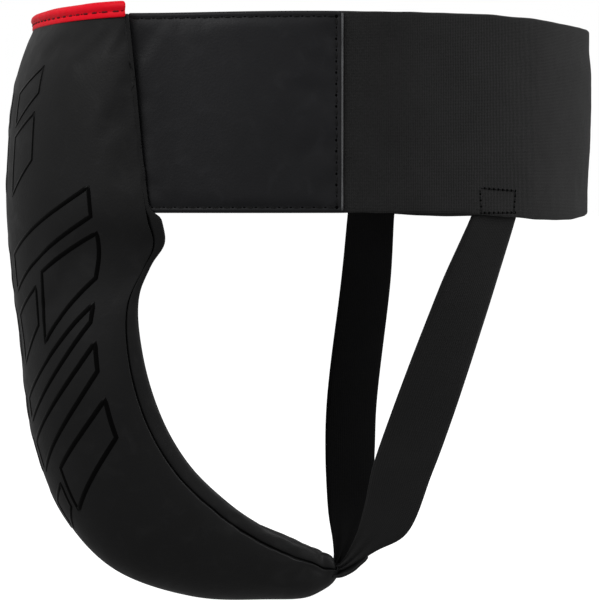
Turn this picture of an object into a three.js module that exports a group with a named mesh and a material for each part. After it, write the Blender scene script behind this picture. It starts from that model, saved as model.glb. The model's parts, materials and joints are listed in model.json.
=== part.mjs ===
// Groin protector: a padded front with a hard cup inside, two padded wings, a two-part elastic
// waistband with a hook-and-loop closure at the back, and two elastic leg straps.
// Millimetres. +Z is up, -Y is the wearer's front and +X the wearer's left. The origin is the
// centre of the waist loop, half way up the waistband.
import * as THREE from "three";
import { mergeVertices } from "three/addons/utils/BufferGeometryUtils.js";

// ---- driving dimensions -------------------------------------------------------------------
const BAND_HEIGHT = 100.9; // four-inch elastic
const BAND_TOP = 49.2;
const BAND_BOTTOM = BAND_TOP - BAND_HEIGHT;
const GAP = 0.35; // clearance between pieces that lie against each other

const COVER = 1.5; // synthetic leather of the front
const SKIN = 1.0; // lining fabric and gusset
const OUTER_FOAM_TO = 6.4; // depth below the outer surface at which the outer cup foam ends
const CUP_WALL = 3.0;
const TRIM_HEIGHT = 6.4;
const TRIM_OVERHANG = 1.3;
const TIP_TAB_THICKNESS = 2.4;

const WING_COVER = 1.2;
const WING_FOAM = 3.2;
const WING_DROP = 1.1; // the wing's top edge is this much lower at the front than at the elastic
const ELASTIC_INSET = 1.5; // the elastic is sewn in under the wing's leather
const ELASTIC = 2.0;
const ELASTIC_SAG = 4.6; // how far the leg straps pull the band's lower edge down
const PATCH = 1.2; // hook and loop patches
const TAB = 2.0; // leather-covered end of the outer band
const STRAP = 1.8;
const STRAP_SEWN = 13; // length of strap that is sewn inside the band

const SEAM_Y = -14; // where the wing ends and the elastic starts
const LAP_HALF = 36; // the two elastic halves overlap this far past the middle of the back
const TAB_FROM = -6; // the closure tab, in X on the wearer's right of the middle
const TAB_TO = -62;
const LOOP_TO = -92;
const BAND_SEGMENTS = 76; // straight facets round the band's plan

// ---- the front's stations, from the top edge to the tip ----------------------------------
// crown: [y, z] of the outer surface on the centre line; edge: [y, z] of the seam at the side;
// half: half width at the seam; rim: depth of the gusset behind the seam; pad: full thickness.
const STATIONS = [
  { crown: [-145.8, 47], edge: [-119.3, 47], half: 71.3, rim: 1.3, pad: 10 },
  { crown: [-157.4, 14], edge: [-115.7, 14], half: 71.1, rim: 1.3, pad: 12 },
  { crown: [-161.6, -25], edge: [-111.8, -25], half: 70.3, rim: 1.3, pad: 14 },
  { crown: [-162.2, -51.7], edge: [-108.2, -51.7], half: 69.9, rim: 1.3, pad: 15 },
  { crown: [-161.9, -53.7], edge: [-107.7, -53.7], half: 69.8, rim: 8, pad: 15 },
  { crown: [-160.7, -77], edge: [-103.6, -68], half: 64.6, rim: 8.1, pad: 16 },
  { crown: [-158.5, -98.5], edge: [-107.8, -80], half: 60.1, rim: 8.2, pad: 17 },
  { crown: [-155.6, -121], edge: [-115, -98.5], half: 56.8, rim: 7.9, pad: 18 },
  { crown: [-153.5, -145.5], edge: [-113.7, -125.6], half: 54, rim: 8.8, pad: 18 },
  { crown: [-148.7, -175.2], edge: [-104.5, -157], half: 50.7, rim: 9.2, pad: 18 },
  { crown: [-134.7, -211.5], edge: [-86.9, -186], half: 45.5, rim: 9, pad: 18 },
  { crown: [-107.6, -241.9], edge: [-62.9, -209], half: 39.8, rim: 8.7, pad: 17 },
  { crown: [-64.2, -259.1], edge: [-39.4, -225.5], half: 33.5, rim: 8.6, pad: 15.5 },
  { crown: [-23, -263.3], edge: [-16.7, -237.2], half: 25, rim: 8.8, pad: 12.5 },
  { crown: [0.1, -263.9], edge: [-0.5, -244], half: 18, rim: 9.4, pad: 10 },
  { crown: [8.6, -260.8], edge: [6, -247.6], half: 14, rim: 10, pad: 8 },
];
const SECTION_ANGLE = THREE.MathUtils.degToRad(78); // how far round the oval section reaches
const BELOW_WING = 4; // first station under the wing
const CUP_FROM = 4.5; // stations between which the hard cup lies
const CUP_TO = 12.5;
const PAD_END = 14.5; // the padding stops short of the tip
const LAST = STATIONS.length - 1;
const ACROSS = 10; // facets across the front

// The waistband seen from above on the wearer's left, outer face: from the front's seam to the
// middle of the back, as [x, y].
const BAND_PLAN = [
  [63.6, -118.5], [70.5, -100], [87, -60], [99, SEAM_Y], [104, 36], [97, 82], [76, 121], [43, 152], [0, 165],
];

// The leg straps' two edges, as [x, y, z], from just under the waistband to the tip.
const STRAP_LEFT = {
  front: [[82, 45.5, -90], [41, 33.5, -162], [25, 30, -190], [12, 20, -216], [4.5, 9.4, -237.8]],
  rear: [[76, 78.5, -92], [50, 67, -160], [38, 60.8, -190], [19.5, 51.5, -229], [5.5, 11.8, -251]],
};
const STRAP_RIGHT = {
  front: [[-81, 50.5, -90], [-44, 28, -162], [-31, 23, -190], [-14.5, 17, -217], [-4.5, 9.4, -237.8]],
  rear: [[-76, 81, -92], [-44, 58, -162], [-33, 51, -190], [-19, 41, -225], [-5.5, 11.8, -251]],
};
const STRAP_AT = { left: 70.5, right: 74.3 }; // y at which the middle of each strap is sewn on
const STRAP_WIDTH = 30;

// ---- materials ---------------------------------------------------------------------------
const finish = (color, roughness, metalness = 0) =>
  new THREE.MeshStandardMaterial({ color, roughness, metalness });
const LEATHER = finish(0x1c1c1d, 0.55);
const RED_LEATHER = finish(0xd8142c, 0.5);
const LINING = finish(0x161617, 0.9);
const FOAM = finish(0x2b2b2d, 0.95);
const HARD_PLASTIC = finish(0x101012, 0.4);
const ELASTIC_WEAVE = finish(0x1d1d1e, 0.92);
const STRAP_WEAVE = finish(0x141415, 0.92);
const HOOKS = finish(0x0f0f10, 0.85);
const LOOPS = finish(0x202022, 0.98);

const group = new THREE.Group();

// ---- mesh helpers ------------------------------------------------------------------------
function signedVolume(points, faces) {
  let volume = 0;
  const cross = new THREE.Vector3();
  for (const [a, b, c] of faces)
    volume += points[a].dot(cross.crossVectors(points[b], points[c])) / 6;
  return volume;
}

// A closed mesh from points and triangles, turned the right way out whatever its winding.
function closedMesh(name, material, points, faces) {
  const outward = signedVolume(points, faces) < 0 ? faces.map(([a, b, c]) => [a, c, b]) : faces;
  const geometry = new THREE.BufferGeometry();
  geometry.setAttribute(
    "position",
    new THREE.Float32BufferAttribute(points.flatMap((p) => p.toArray()), 3),
  );
  geometry.setIndex(outward.flat());
  const mesh = new THREE.Mesh(mergeVertices(geometry, 1e-4), material);
  mesh.geometry.computeVertexNormals();
  mesh.name = name;
  group.add(mesh);
  return mesh;
}

// Turns a mesh into its own mirror image, for the wearer's right.
function mirrorAcrossMiddle(mesh) {
  const { geometry } = mesh;
  geometry.scale(-1, 1, 1);
  const index = geometry.getIndex();
  for (let i = 0; i < index.count; i += 3) {
    const b = index.getX(i + 1);
    index.setX(i + 1, index.getX(i + 2));
    index.setX(i + 2, b);
  }
  geometry.computeVertexNormals();
}

// A solid lofted through closed rings that all have the same number of points.
function loft(name, material, rings) {
  const size = rings[0].length;
  const points = rings.flat();
  const faces = [];
  for (let i = 0; i + 1 < rings.length; i++)
    for (let j = 0; j < size; j++) {
      const a = i * size + j;
      const b = i * size + ((j + 1) % size);
      faces.push([a, b, b + size], [a, b + size, a + size]);
    }
  for (let j = 1; j + 1 < size; j++) {
    const end = (rings.length - 1) * size;
    faces.push([0, j + 1, j], [end, end + j, end + j + 1]);
  }
  return closedMesh(name, material, points, faces);
}

// A solid sheet: each row is a pair of point lists, one on each face of the sheet.
function sheet(name, material, rows) {
  const across = rows[0].outer.length;
  const row = 2 * across;
  const points = rows.flatMap(({ outer, inner }) => [...outer, ...inner]);
  const faces = [];
  const quad = (a, b, c, d) => faces.push([a, b, c], [a, c, d]);
  for (let i = 0; i + 1 < rows.length; i++) {
    const at = i * row;
    for (let j = 0; j + 1 < across; j++) {
      quad(at + j, at + j + 1, at + row + j + 1, at + row + j);
      quad(at + across + j, at + row + across + j, at + row + across + j + 1, at + across + j + 1);
    }
    const last = at + across - 1;
    quad(last, last + across, last + row + across, last + row);
    quad(at, at + row, at + row + across, at + across);
  }
  const end = (rows.length - 1) * row;
  for (let j = 0; j + 1 < across; j++) {
    quad(j, j + across, j + across + 1, j + 1);
    quad(end + j, end + j + 1, end + across + j + 1, end + across + j);
  }
  return closedMesh(name, material, points, faces);
}

const steps = (from, to, count) =>
  Array.from({ length: count + 1 }, (_, i) => from + ((to - from) * i) / count);

// ---- the front ---------------------------------------------------------------------------
// Hermite interpolation of one station value at a fractional station number.
function stationValue(at, read) {
  const i = Math.min(Math.floor(at), LAST - 1);
  const t = at - i;
  const value = (k) => read(STATIONS[THREE.MathUtils.clamp(k, 0, LAST)]);
  const [v0, v1, v2, v3] = [value(i - 1), value(i), value(i + 1), value(i + 2)];
  const m1 = (v2 - v0) / 2;
  const m2 = (v3 - v1) / 2;
  const t2 = t * t;
  const t3 = t2 * t;
  return (2 * t3 - 3 * t2 + 1) * v1 + (t3 - 2 * t2 + t) * m1 + (3 * t2 - 2 * t3) * v2 + (t3 - t2) * m2;
}

// Straight interpolation, for the values that must not overshoot at a step.
function stationStep(at, read) {
  const i = Math.min(Math.floor(at), LAST - 1);
  return THREE.MathUtils.lerp(read(STATIONS[i]), read(STATIONS[i + 1]), at - i);
}

function section(at) {
  const crown = new THREE.Vector2(
    stationValue(at, (s) => s.crown[0]),
    stationValue(at, (s) => s.crown[1]),
  );
  const edge = new THREE.Vector2(
    stationValue(at, (s) => s.edge[0]),
    stationValue(at, (s) => s.edge[1]),
  );
  const out = crown.clone().sub(edge);
  return {
    edge,
    height: out.length(),
    out: out.normalize(),
    half: stationValue(at, (s) => s.half),
    rim: stationStep(at, (s) => s.rim),
    pad: stationStep(at, (s) => s.pad),
  };
}

// A point of a section: x across, b outwards from the seam line (negative is behind it).
const sectionPoint = (s, x, b) =>
  new THREE.Vector3(x, s.edge.x + s.out.x * b, s.edge.y + s.out.y * b);

// The oval of a section at a depth below the outer surface, from one side to the other.
function ovalPoint(s, across, depth) {
  const angle = across * SECTION_ANGLE;
  const flat = Math.cos(SECTION_ANGLE);
  return sectionPoint(
    s,
    ((s.half - depth) * Math.sin(angle)) / Math.sin(SECTION_ANGLE),
    ((s.height - depth) * (Math.cos(angle) - flat)) / (1 - flat),
  );
}

// Every layer of the front is cut from the same grid of sections, half a station apart, so that
// layers lie against each other evenly. A row between two sections is interpolated straight.
const GRID_STEP = 0.5;
function frontRows(from, to, rowOf) {
  const at = [from];
  for (let i = Math.floor(from / GRID_STEP) + 1; i * GRID_STEP < to; i++) at.push(i * GRID_STEP);
  at.push(to);
  return at.map((place) => {
    const low = Math.floor(place / GRID_STEP) * GRID_STEP;
    const row = rowOf(section(low));
    if (place === low) return row;
    const next = rowOf(section(low + GRID_STEP));
    const t = (place - low) / GRID_STEP;
    const mix = (a, b) => a.map((p, i) => p.clone().lerp(b[i], t));
    return { outer: mix(row.outer, next.outer), inner: mix(row.inner, next.inner) };
  });
}

// One layer of the front between two depths. tail is how far it runs on behind the seam line.
function frontLayer(name, material, { from, to, depths, tail }) {
  const rows = frontRows(from, to, (s) => {
    const line = (depth) => {
      const points = steps(-1, 1, ACROSS).map((x) => ovalPoint(s, x, depth));
      if (!tail) return points;
      const side = s.half - depth;
      const back = tail(s);
      return [sectionPoint(s, -side, -back), ...points, sectionPoint(s, side, -back)];
    };
    const [outerDepth, innerDepth] = depths(s);
    return { outer: line(outerDepth), inner: line(innerDepth) };
  });
  return sheet(name, material, rows);
}

const lined = (s) => s.pad - SKIN;
const rimTail = (s) => Math.max(s.rim - SKIN - GAP, 0.05);

function makeFront() {
  frontLayer("front_cover", LEATHER, { from: 0, to: LAST, depths: () => [0, COVER] });
  frontLayer("abdomen_foam", FOAM, {
    from: 0.05,
    to: CUP_FROM - 0.45,
    depths: (s) => [COVER + GAP, lined(s) - GAP],
  });
  frontLayer("cup_outer_foam", FOAM, {
    from: CUP_FROM,
    to: CUP_TO,
    depths: () => [COVER + GAP, OUTER_FOAM_TO],
    tail: rimTail,
  });
  frontLayer("hard_cup", HARD_PLASTIC, {
    from: CUP_FROM,
    to: CUP_TO,
    depths: () => [OUTER_FOAM_TO + GAP, OUTER_FOAM_TO + GAP + CUP_WALL],
    tail: (s) => rimTail(s) - 2,
  });
  frontLayer("cup_inner_foam", FOAM, {
    from: CUP_FROM,
    to: CUP_TO,
    depths: (s) => [OUTER_FOAM_TO + CUP_WALL + 2 * GAP, lined(s) - GAP],
    tail: rimTail,
  });
  frontLayer("tip_foam", FOAM, {
    from: CUP_TO + 0.06,
    to: PAD_END,
    depths: (s) => [COVER + GAP, lined(s) - GAP],
    tail: rimTail,
  });
  makeLining();
  makeGusset("gusset_left", 1);
  makeGusset("gusset_right", -1);
  makeTrim();
  makeTipTab();
}

// The body-side lining, turned outwards at the rim to close the back of the padding.
function makeLining() {
  const rows = frontRows(0, LAST, (s) => {
    const line = (depth, back) => {
      const side = s.half - depth;
      return [
        sectionPoint(s, -s.half, -back),
        sectionPoint(s, -side, -back),
        ...steps(-1, 1, ACROSS).map((x) => ovalPoint(s, x, depth)),
        sectionPoint(s, side, -back),
        sectionPoint(s, s.half, -back),
      ];
    };
    return { outer: line(lined(s), s.rim - SKIN), inner: line(s.pad, s.rim) };
  });
  return sheet("body_lining", LINING, rows);
}

// The leather strip that closes the side of the padding under the wing.
function makeGusset(name, side) {
  const rows = frontRows(BELOW_WING, LAST, (s) => {
    const line = (inset) => [
      sectionPoint(s, side * (s.half - inset), -GAP),
      sectionPoint(s, side * (s.half - inset), -(s.rim - SKIN - GAP)),
    ];
    return { outer: line(0), inner: line(SKIN) };
  });
  return sheet(name, LEATHER, rows);
}

// The rolled trim over the top edge of the front.
function makeTrim() {
  const s = section(0);
  const base = s.edge.y + GAP;
  const profile = [
    [-TRIM_OVERHANG, 0], [-TRIM_OVERHANG - 0.5, 0.4], [-0.6, 0.82], [1.6, 1],
    [s.pad - 1.6, 1], [s.pad + 0.6, 0.82], [s.pad + TRIM_OVERHANG + 0.5, 0.4], [s.pad + TRIM_OVERHANG, 0],
  ];
  const rings = steps(-1, 1, 2 * ACROSS).map((x) =>
    profile.map(([depth, rise]) => {
      const p = ovalPoint(s, x, depth);
      p.z = base + rise * TRIM_HEIGHT;
      return p;
    }),
  );
  return loft("top_trim", RED_LEATHER, rings);
}

// The patch behind the tip that the leg straps are sewn to.
function makeTipTab() {
  const s = section(LAST);
  const rise = s.edge.clone().sub(new THREE.Vector2(s.edge.x + s.out.x * s.height, s.edge.y + s.out.y * s.height));
  const along = rise.normalize();
  const back = new THREE.Vector2(-along.y, along.x);
  if (back.x < 0) back.negate();
  const corner = (x, up, behind) =>
    new THREE.Vector3(
      x,
      s.edge.x + along.x * up + back.x * behind,
      s.edge.y + along.y * up + back.y * behind,
    );
  const ring = (x) => [
    corner(x, -6, GAP),
    corner(x, s.rim, GAP),
    corner(x, s.rim, GAP + TIP_TAB_THICKNESS),
    corner(x, -6, GAP + TIP_TAB_THICKNESS),
  ];
  return loft("tip_tab", LEATHER, [ring(-13), ring(13)]);
}

// ---- the waistband -----------------------------------------------------------------------
const plan = new THREE.CatmullRomCurve3(
  [...BAND_PLAN, ...BAND_PLAN.slice(0, -1).reverse().map(([x, y]) => [-x, y])].map(
    ([x, y]) => new THREE.Vector3(x, y, 0),
  ),
);
plan.arcLengthDivisions = 800;
const PLAN_LENGTH = plan.getLength();
const PLAN_STEP = PLAN_LENGTH / BAND_SEGMENTS;

// Distance along the plan at which a test first holds, counted from the wearer's left.
function planWhere(test) {
  const count = 4000;
  for (let i = 0; i <= count; i++)
    if (test(plan.getPointAt(i / count))) return (PLAN_LENGTH * i) / count;
  throw new Error("the waistband never gets there");
}
const SEAM_AT = planWhere((p) => p.y >= SEAM_Y);
const backAt = (x) => planWhere((p) => p.y > 0 && p.x <= x);

// A corner of the band's plan, moved inwards from its outer face.
function planCorner(index, inset) {
  const t = THREE.MathUtils.clamp(index / BAND_SEGMENTS, 0, 1);
  const p = plan.getPointAt(t);
  const tangent = plan.getTangentAt(t);
  return new THREE.Vector3(p.x - tangent.y * inset, p.y + tangent.x * inset, 0);
}

// A point of the band: along it, inwards from its outer face, and height.
function bandPoint(along, inset, z) {
  const place = along / PLAN_STEP;
  const low = Math.floor(place);
  const p = planCorner(low, inset);
  if (place > low) p.lerp(planCorner(low + 1, inset), place - low);
  return p.setZ(z);
}

const bump = (value, middle, half) => {
  const t = THREE.MathUtils.clamp(1 - Math.abs(value - middle) / half, 0, 1);
  return t * t * (3 - 2 * t);
};

// The lower edge dips where the leg straps pull on it, the same on both sides.
const STRAP_PULL_AT = planWhere((p) => p.y >= 118);
const bandBottom = (along) => {
  const fromLeft = Math.min(along, PLAN_LENGTH - along);
  return BAND_BOTTOM - ELASTIC_SAG * bump(fromLeft, STRAP_PULL_AT, 95);
};

// A stretch of band between two insets, with its own lower and upper edge.
function bandStretch(name, material, { from, to, insets, bottom, top, tall = 1 }) {
  const [start, end] = [Math.min(from, to), Math.max(from, to)];
  const at = [start];
  for (let i = Math.floor(start / PLAN_STEP) + 1; i * PLAN_STEP < end; i++) at.push(i * PLAN_STEP);
  at.push(end);
  const rows = at.map((along) => {
    const line = (inset) =>
      steps(bottom(along), top(along), tall).map((z) => bandPoint(along, inset(along), z));
    return { outer: line(insets[0]), inner: line(insets[1]) };
  });
  return sheet(name, material, rows);
}

const fixed = (value) => () => value;

// A wing's front edge leans with the edge of the front panel that it is sewn behind.
function makeWing(side, mirror) {
  const behind = STATIONS[0].rim + 0.9;
  const startAt = (station) => planWhere((p) => p.y >= station.edge[0] + behind);
  const low = startAt(STATIONS[3]);
  const high = startAt(STATIONS[0]);
  const front = SEAM_AT - GAP;
  const layer = (name, material, from, to) => {
    const rows = steps(0, 1, 9).map((t) => {
      const top = BAND_TOP - WING_DROP * (1 - THREE.MathUtils.smoothstep(t, 0, 1));
      const line = (inset) => [
        bandPoint(THREE.MathUtils.lerp(low, front, t), inset, BAND_BOTTOM),
        bandPoint(THREE.MathUtils.lerp(high, front, t), inset, top),
      ];
      return { outer: line(from), inner: line(to) };
    });
    const mesh = sheet(name, material, rows);
    if (mirror) mirrorAcrossMiddle(mesh);
  };
  const foamFrom = WING_COVER + GAP;
  const foamTo = foamFrom + WING_FOAM;
  layer(`wing_cover_${side}`, LEATHER, 0, WING_COVER);
  layer(`wing_foam_${side}`, FOAM, foamFrom, foamTo);
  layer(`wing_lining_${side}`, LINING, foamTo + GAP, foamTo + GAP + SKIN);
}

// The outer half ends in the tab on the wearer's right of the middle. The inner half lies under it.
const LAP_START = backAt(LAP_HALF);
const OUTER_END = backAt(TAB_FROM);
const UNDER = ELASTIC + PATCH + 3 * GAP; // how far in the inner half passes below the outer one
const LOOP_END = backAt(LOOP_TO);

// The inner half leaves the outer half's path gradually before the loop patch starts.
const innerInset = (along) =>
  ELASTIC_INSET + UNDER * THREE.MathUtils.smoothstep(-along, -LOOP_END - 70, -LOOP_END);

function makeElastic() {
  bandStretch("elastic_left", ELASTIC_WEAVE, {
    from: SEAM_AT, to: OUTER_END, tall: 2,
    insets: [fixed(ELASTIC_INSET), fixed(ELASTIC_INSET + ELASTIC)],
    bottom: bandBottom, top: fixed(BAND_TOP),
  });
  bandStretch("elastic_right", ELASTIC_WEAVE, {
    from: LAP_START, to: PLAN_LENGTH - SEAM_AT, tall: 2,
    insets: [innerInset, (a) => innerInset(a) + ELASTIC],
    bottom: bandBottom, top: fixed(BAND_TOP),
  });
}

function makeClosure() {
  const tabFrom = OUTER_END + GAP;
  const tabTo = backAt(TAB_TO);
  const hookFrom = ELASTIC_INSET + ELASTIC + GAP;
  const inset = 5; // the patches stop short of the band's edges
  bandStretch("closure_tab", LEATHER, {
    from: tabFrom, to: tabTo,
    insets: [fixed(ELASTIC_INSET), fixed(ELASTIC_INSET + TAB)],
    bottom: (a) => bandBottom(a) + 1, top: fixed(BAND_TOP - 1),
  });
  bandStretch("hook_patch", HOOKS, {
    from: tabFrom + 4, to: tabTo - 4,
    insets: [fixed(hookFrom), fixed(hookFrom + PATCH / 2)],
    bottom: (a) => bandBottom(a) + inset, top: fixed(BAND_TOP - inset),
  });
  bandStretch("loop_patch", LOOPS, {
    from: backAt(LAP_HALF - 6), to: LOOP_END,
    insets: [(a) => innerInset(a) - GAP - PATCH / 2, (a) => innerInset(a) - GAP],
    bottom: (a) => bandBottom(a) + inset, top: fixed(BAND_TOP - inset),
  });
}

// ---- the leg straps ----------------------------------------------------------------------
const curveOf = (points) =>
  new THREE.CatmullRomCurve3(points.map((p) => new THREE.Vector3(...p)), false, "centripetal");

// Where a strap meets the band: the distance along the band and the inset of its outer face.
function strapPlace(side) {
  const fromFront = planWhere((p) => p.y >= STRAP_AT[side]);
  if (side === "left") return { middle: fromFront, inset: fixed(ELASTIC_INSET + ELASTIC + GAP) };
  return { middle: PLAN_LENGTH - fromFront, inset: (a) => innerInset(a) + ELASTIC + GAP };
}

function makeStrap(side, edges) {
  const { middle, inset } = strapPlace(side);
  const toFront = side === "left" ? -1 : 1;
  const start = (along) => bandPoint(along, inset(along) + STRAP / 2, bandBottom(along) - 1.2);
  const front = curveOf([start(middle + (toFront * STRAP_WIDTH) / 2).toArray(), ...edges.front]);
  const rear = curveOf([start(middle - (toFront * STRAP_WIDTH) / 2).toArray(), ...edges.rear]);
  const rows = steps(0, 1, 22).map((t) => {
    const p = front.getPoint(t);
    const q = rear.getPoint(t);
    const across = q.clone().sub(p).normalize();
    const along = front.getTangent(t).add(rear.getTangent(t)).normalize();
    const half = new THREE.Vector3().crossVectors(across, along).normalize();
    half.multiplyScalar(STRAP / 2);
    return {
      outer: [p.clone().add(half), q.clone().add(half)],
      inner: [p.clone().sub(half), q.clone().sub(half)],
    };
  });
  return sheet(`leg_strap_${side}`, STRAP_WEAVE, rows);
}

// The end of a strap that is sewn flat to the inside of the band.
function makeSewnEnd(side) {
  const { middle, inset } = strapPlace(side);
  bandStretch(`strap_end_${side}`, STRAP_WEAVE, {
    from: middle - STRAP_WIDTH / 2,
    to: middle + STRAP_WIDTH / 2,
    insets: [inset, (a) => inset(a) + STRAP],
    bottom: (a) => bandBottom(a) - 0.5,
    top: (a) => bandBottom(a) + STRAP_SEWN,
  });
}

makeFront();
makeWing("left", false);
makeWing("right", true);
makeElastic();
makeClosure();
makeSewnEnd("left");
makeSewnEnd("right");
makeStrap("left", STRAP_LEFT);
makeStrap("right", STRAP_RIGHT);

export default group;
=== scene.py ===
import json
import math

import bpy
import numpy as np
from mathutils import Vector, noise
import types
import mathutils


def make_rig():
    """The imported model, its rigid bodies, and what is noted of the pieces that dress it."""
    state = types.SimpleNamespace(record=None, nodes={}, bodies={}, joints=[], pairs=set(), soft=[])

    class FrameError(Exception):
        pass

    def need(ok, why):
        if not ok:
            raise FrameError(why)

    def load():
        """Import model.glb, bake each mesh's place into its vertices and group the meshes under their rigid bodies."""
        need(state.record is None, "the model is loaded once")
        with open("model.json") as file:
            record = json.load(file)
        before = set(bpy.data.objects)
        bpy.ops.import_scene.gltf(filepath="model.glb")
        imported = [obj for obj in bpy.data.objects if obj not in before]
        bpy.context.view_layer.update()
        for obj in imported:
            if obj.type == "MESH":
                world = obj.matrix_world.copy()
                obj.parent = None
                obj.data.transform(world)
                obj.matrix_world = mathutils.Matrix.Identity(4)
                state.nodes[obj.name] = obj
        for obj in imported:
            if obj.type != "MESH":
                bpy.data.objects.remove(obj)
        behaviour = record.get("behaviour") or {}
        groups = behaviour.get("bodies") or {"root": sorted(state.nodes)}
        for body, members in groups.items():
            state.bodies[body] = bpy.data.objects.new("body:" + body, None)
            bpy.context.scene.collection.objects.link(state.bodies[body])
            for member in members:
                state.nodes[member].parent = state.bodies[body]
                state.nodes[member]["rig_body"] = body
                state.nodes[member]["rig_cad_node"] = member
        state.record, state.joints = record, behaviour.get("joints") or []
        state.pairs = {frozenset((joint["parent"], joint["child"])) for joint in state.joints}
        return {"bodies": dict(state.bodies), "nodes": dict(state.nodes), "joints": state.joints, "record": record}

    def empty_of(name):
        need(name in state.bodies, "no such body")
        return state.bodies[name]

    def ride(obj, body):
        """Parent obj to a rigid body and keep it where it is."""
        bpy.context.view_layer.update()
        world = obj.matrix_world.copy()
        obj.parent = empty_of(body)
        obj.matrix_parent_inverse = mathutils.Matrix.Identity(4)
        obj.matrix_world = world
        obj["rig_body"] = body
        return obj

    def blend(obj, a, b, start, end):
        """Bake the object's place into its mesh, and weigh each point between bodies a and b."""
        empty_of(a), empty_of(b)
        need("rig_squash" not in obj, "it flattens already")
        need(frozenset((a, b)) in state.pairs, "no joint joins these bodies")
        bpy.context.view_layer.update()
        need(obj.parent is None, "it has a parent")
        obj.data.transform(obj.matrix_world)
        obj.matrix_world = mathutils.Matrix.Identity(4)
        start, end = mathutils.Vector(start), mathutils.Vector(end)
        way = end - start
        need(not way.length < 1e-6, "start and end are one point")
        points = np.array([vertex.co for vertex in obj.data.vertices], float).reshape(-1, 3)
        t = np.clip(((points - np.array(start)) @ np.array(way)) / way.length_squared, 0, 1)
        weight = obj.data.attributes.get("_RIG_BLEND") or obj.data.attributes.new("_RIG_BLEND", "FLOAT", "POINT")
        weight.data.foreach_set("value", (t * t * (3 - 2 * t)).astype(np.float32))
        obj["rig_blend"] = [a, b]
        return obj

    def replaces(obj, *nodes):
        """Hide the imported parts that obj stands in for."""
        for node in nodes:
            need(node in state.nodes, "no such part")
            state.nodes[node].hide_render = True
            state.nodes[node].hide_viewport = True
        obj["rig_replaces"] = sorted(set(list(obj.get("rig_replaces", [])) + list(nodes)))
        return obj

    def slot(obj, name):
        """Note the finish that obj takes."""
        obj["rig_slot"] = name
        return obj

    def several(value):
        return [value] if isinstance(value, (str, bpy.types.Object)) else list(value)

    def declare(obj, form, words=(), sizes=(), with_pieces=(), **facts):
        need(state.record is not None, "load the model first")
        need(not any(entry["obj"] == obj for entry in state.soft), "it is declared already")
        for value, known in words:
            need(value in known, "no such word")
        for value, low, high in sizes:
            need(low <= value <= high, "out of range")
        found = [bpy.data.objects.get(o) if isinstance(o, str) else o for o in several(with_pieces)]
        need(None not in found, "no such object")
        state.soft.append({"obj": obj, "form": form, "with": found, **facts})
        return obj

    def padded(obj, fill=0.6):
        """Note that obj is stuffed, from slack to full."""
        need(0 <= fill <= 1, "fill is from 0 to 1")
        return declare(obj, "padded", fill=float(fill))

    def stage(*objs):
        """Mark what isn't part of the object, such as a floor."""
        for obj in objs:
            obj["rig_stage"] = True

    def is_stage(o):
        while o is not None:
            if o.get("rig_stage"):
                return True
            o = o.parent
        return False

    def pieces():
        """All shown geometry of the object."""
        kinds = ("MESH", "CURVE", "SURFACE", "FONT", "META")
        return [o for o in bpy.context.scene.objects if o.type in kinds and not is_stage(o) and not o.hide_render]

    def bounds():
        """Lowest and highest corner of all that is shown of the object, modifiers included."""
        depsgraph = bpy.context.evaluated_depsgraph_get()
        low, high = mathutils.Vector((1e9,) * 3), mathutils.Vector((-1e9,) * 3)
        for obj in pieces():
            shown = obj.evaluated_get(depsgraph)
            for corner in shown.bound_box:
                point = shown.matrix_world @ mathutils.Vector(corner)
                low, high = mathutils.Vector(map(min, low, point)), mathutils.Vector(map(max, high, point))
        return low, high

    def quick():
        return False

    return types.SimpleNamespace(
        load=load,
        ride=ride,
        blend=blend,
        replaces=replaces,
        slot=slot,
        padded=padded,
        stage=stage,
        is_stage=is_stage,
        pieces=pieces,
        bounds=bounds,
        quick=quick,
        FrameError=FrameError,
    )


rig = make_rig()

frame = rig.load()
CAD_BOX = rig.bounds()

MM = 0.001

# ---------------- sizes, in millimetres
# The front: crown y, z; seam y, z; half width; depth of the gusset; thickness of the padding.
STATIONS = [
    (-145.8, 47, -119.3, 47, 71.3, 1.3, 10),
    (-157.4, 14, -115.7, 14, 71.1, 1.3, 12),
    (-161.6, -25, -111.8, -25, 70.3, 1.3, 14),
    (-162.2, -51.7, -108.2, -51.7, 69.9, 1.3, 15),
    (-161.9, -53.7, -107.7, -53.7, 69.8, 8, 15),
    (-160.7, -77, -103.6, -68, 64.6, 7.2, 16),
    (-158.5, -98.5, -107.8, -80, 60.1, 5.6, 17),
    (-155.6, -121, -115, -98.5, 56.8, 7.9, 18),
    (-153.5, -145.5, -113.7, -125.6, 54, 8.8, 18),
    (-148.7, -175.2, -104.5, -157, 50.7, 9.2, 18),
    (-134.7, -211.5, -86.9, -186, 45.5, 9, 18),
    (-107.6, -241.9, -62.9, -209, 39.8, 8.7, 17),
    (-64.2, -259.1, -39.4, -225.5, 33.5, 8.6, 15.5),
    (-23, -263.3, -16.7, -237.2, 25, 8.8, 12.5),
    (0.1, -263.9, -0.5, -244, 18, 9.4, 10),
    (8.6, -260.8, 6, -247.6, 14, 10, 8),
]
SECTION_ANGLE = math.radians(78)
# Half the width of the front's section along its curve, near enough, and the leather's thickness.
HALF_COVER, SKIN = 95, 0.9
# The waistband's plan (x, y) from the front to the middle of the back, on the wearer's left.
BAND_PLAN = [(63.6, -118.5), (70.5, -100), (87, -60), (99, -14), (104, 36), (97, 82), (76, 121), (43, 152), (0, 165)]
# Where the elastic meets the wing (y), and where the lap, the pull tab and the loop tape begin or end (x).
SEAM_Y, LAP_HALF, TAB_FROM, TAB_TO, LOOP_TO = -14, 36, -6, -62, -92
BAND_TOP, BAND_BOTTOM = 49.2, -51.7
# How much lower the wing is at the front, and how far in its stitches are from its edges.
WING_DROP, STITCH_IN = 1.1, 2.9
# How far the elastic lies inside the wing's face, then the thicknesses of elastic and tape, and the play.
ELASTIC_INSET, ELASTIC, PATCH, GAP = 1.5, 2.0, 1.2, 0.35
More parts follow.
